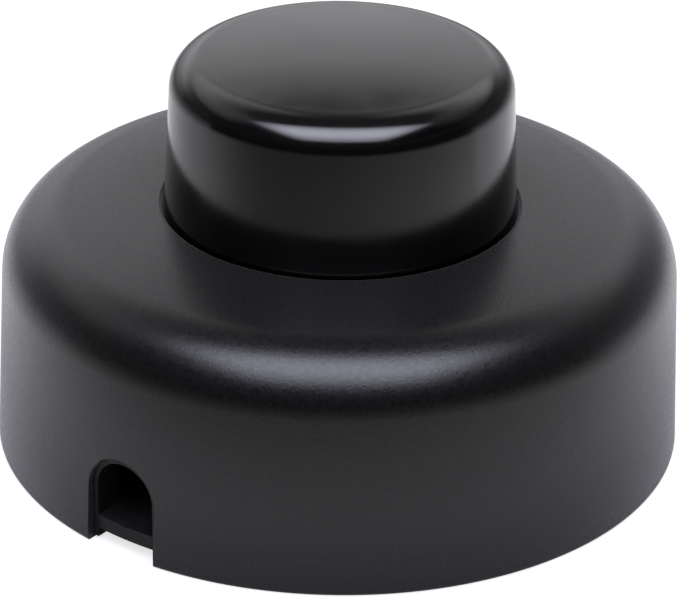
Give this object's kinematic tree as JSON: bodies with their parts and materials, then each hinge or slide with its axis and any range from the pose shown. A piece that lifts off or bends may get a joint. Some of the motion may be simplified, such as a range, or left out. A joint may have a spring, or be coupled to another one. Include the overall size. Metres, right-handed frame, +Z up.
{
  "type": "foot switch",
  "caption": "Round in-line foot switch for a lamp cord: drafted cover with a rounded shoulder, a large push button, cord notches at both sides and a ratchet switch inside.",
  "frame": {"origin": "centre of the cover's rim, on the floor that the switch stands on", "axes": "+Z up through the middle of the button; the cords leave along -X and +X; the live terminals are at +Y"},
  "size_m": [0.0616, 0.062, 0.0364],
  "materials": {
    "cover_plastic": "satin black moulded plastic",
    "button_plastic": "polished black moulded plastic",
    "base_plastic": "matt black moulded plastic",
    "clamp_plastic": "matt black moulded plastic",
    "insulating_plastic": "natural nylon",
    "contact_brass": "stamped spring brass",
    "terminal_brass": "turned brass",
    "rivet_silver": "silver contact",
    "steel": "bright steel",
    "spring_steel": "spring wire",
    "screw_steel": "zinc plated"
  },
  "bodies": {
    "housing": {"cover": "cover_plastic", "base_plate": "base_plastic", "pivot_pin": "steel", "retaining_clip": "spring_steel", "thrust_washer": "steel", "button_spring": "spring_steel", "mechanism_cage": "insulating_plastic", "cage_screws": "screw_steel", "contact_spring_left": "contact_brass", "contact_spring_right": "contact_brass", "contact_rivets": "rivet_silver", "live_in_terminal": "terminal_brass", "live_out_terminal": "terminal_brass", "neutral_terminal": "terminal_brass", "earth_terminal": "terminal_brass", "terminal_screws": "screw_steel", "cord_clamp_left": "clamp_plastic", "cord_clamp_right": "clamp_plastic", "clamp_screws": "screw_steel", "housing_screws": "screw_steel"},
    "button": {"button": "button_plastic"},
    "rotor": {"contact_rotor": "insulating_plastic", "contact_star": "contact_brass", "drive_ring": "insulating_plastic", "ratchet_spring": "spring_steel"}
  },
  "joints": [
    {"name": "button_press", "type": "slide", "parent": "housing", "child": "button", "axis": [0, 0, -1], "range_m": [0, 0.0045], "stiffness_N_per_m": 430, "springref_m": -0.005, "deforming": ["button_spring"]},
    {"name": "rotor_turn", "type": "hinge", "parent": "housing", "child": "rotor", "pos_m": [0, 0, 0.0046], "axis": [0, 0, 1], "range_deg": [0, 45]}
  ],
  "couplings": [
    {"joint": "rotor_turn", "follows": "button_press", "rad_per_m": 174.53}
  ]
}
